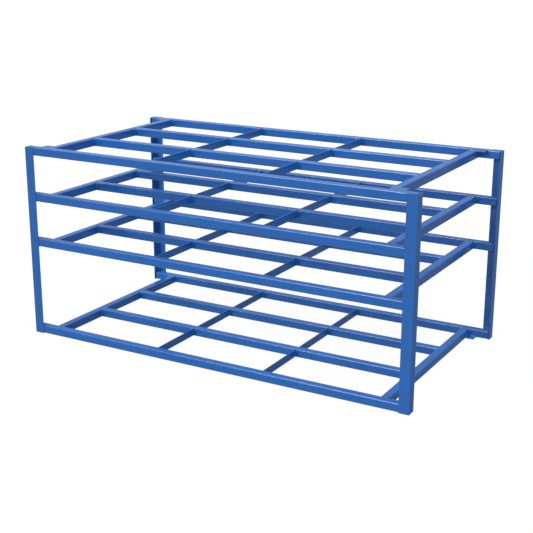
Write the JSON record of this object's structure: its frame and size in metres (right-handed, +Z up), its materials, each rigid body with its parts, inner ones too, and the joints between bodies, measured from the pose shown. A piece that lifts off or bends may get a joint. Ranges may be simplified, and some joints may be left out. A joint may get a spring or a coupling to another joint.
{
  "type": "horizontal sheet storage rack",
  "caption": "Low open welded steel rack with angle corner posts and flat tube-and-bar shelf frames for storing full sheets lying flat, loaded from any side.",
  "frame": {"origin": "on the floor, under the middle of the rack's bounding box", "axes": "+X along the length, +Y from the front (long side) to the back, +Z up"},
  "size_m": [2.612, 1.39, 1.2192],
  "materials": {
    "blue_paint": "semi-gloss powder coat"
  },
  "bodies": {
    "root": {"bottom_front_longitudinal": "blue_paint", "bottom_front_rail": "blue_paint", "bottom_left_cross_bar_centre": "blue_paint", "bottom_left_cross_bar_front": "blue_paint", "bottom_left_cross_bar_rear": "blue_paint", "bottom_left_cross_member": "blue_paint", "bottom_plate_front_left": "blue_paint", "bottom_plate_front_right": "blue_paint", "bottom_plate_rear_left": "blue_paint", "bottom_plate_rear_right": "blue_paint", "bottom_rear_longitudinal": "blue_paint", "bottom_rear_rail": "blue_paint", "bottom_right_cross_bar_centre": "blue_paint", "bottom_right_cross_bar_front": "blue_paint", "bottom_right_cross_bar_rear": "blue_paint", "bottom_right_cross_member": "blue_paint", "middle_front_longitudinal": "blue_paint", "middle_front_rail": "blue_paint", "middle_left_cross_bar_centre": "blue_paint", "middle_left_cross_bar_front": "blue_paint", "middle_left_cross_bar_rear": "blue_paint", "middle_left_cross_member": "blue_paint", "middle_rear_longitudinal": "blue_paint", "middle_rear_rail": "blue_paint", "middle_right_cross_bar_centre": "blue_paint", "middle_right_cross_bar_front": "blue_paint", "middle_right_cross_bar_rear": "blue_paint", "middle_right_cross_member": "blue_paint", "post_front_left": "blue_paint", "post_front_right": "blue_paint", "post_rear_left": "blue_paint", "post_rear_right": "blue_paint", "top_front_longitudinal": "blue_paint", "top_front_rail": "blue_paint", "top_left_cross_bar_centre": "blue_paint", "top_left_cross_bar_front": "blue_paint", "top_left_cross_bar_rear": "blue_paint", "top_left_cross_member": "blue_paint", "top_plate_front_left": "blue_paint", "top_plate_front_right": "blue_paint", "top_plate_rear_left": "blue_paint", "top_plate_rear_right": "blue_paint", "top_rear_longitudinal": "blue_paint", "top_rear_rail": "blue_paint", "top_right_cross_bar_centre": "blue_paint", "top_right_cross_bar_front": "blue_paint", "top_right_cross_bar_rear": "blue_paint", "top_right_cross_member": "blue_paint", "upper_front_longitudinal": "blue_paint", "upper_front_rail": "blue_paint", "upper_left_cross_bar_centre": "blue_paint", "upper_left_cross_bar_front": "blue_paint", "upper_left_cross_bar_rear": "blue_paint", "upper_left_cross_member": "blue_paint", "upper_rear_longitudinal": "blue_paint", "upper_rear_rail": "blue_paint", "upper_right_cross_bar_centre": "blue_paint", "upper_right_cross_bar_front": "blue_paint", "upper_right_cross_bar_rear": "blue_paint", "upper_right_cross_member": "blue_paint"}
  },
  "joints": []
}
